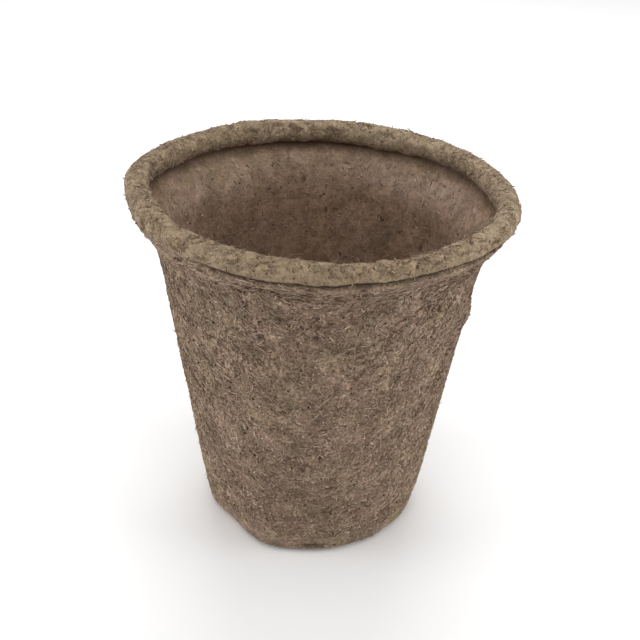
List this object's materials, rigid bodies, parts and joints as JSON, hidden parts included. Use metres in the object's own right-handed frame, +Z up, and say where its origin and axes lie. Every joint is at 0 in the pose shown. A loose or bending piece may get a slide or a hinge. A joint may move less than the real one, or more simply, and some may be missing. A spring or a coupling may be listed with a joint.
{
  "type": "peat pot",
  "caption": "Round tapered planting pot of pressed peat and wood fibre felt, with a rolled rim over a flared lip, a rounded foot and a drain hole in the floor.",
  "frame": {"origin": "middle of the base, on the surface that the pot stands on", "axes": "+Z up along the pot's axis, from the base to the mouth; the pot is round, so X and Y are free: +Y points away from the picture's viewer and +X to the right"},
  "size_m": [0.08, 0.08, 0.08],
  "materials": {
    "rim_felt": "matte",
    "wall_felt": "matte",
    "floor_felt": "matte"
  },
  "bodies": {
    "root": {"rolled_rim": "rim_felt", "side_wall": "wall_felt", "base_floor": "floor_felt"}
  },
  "joints": []
}
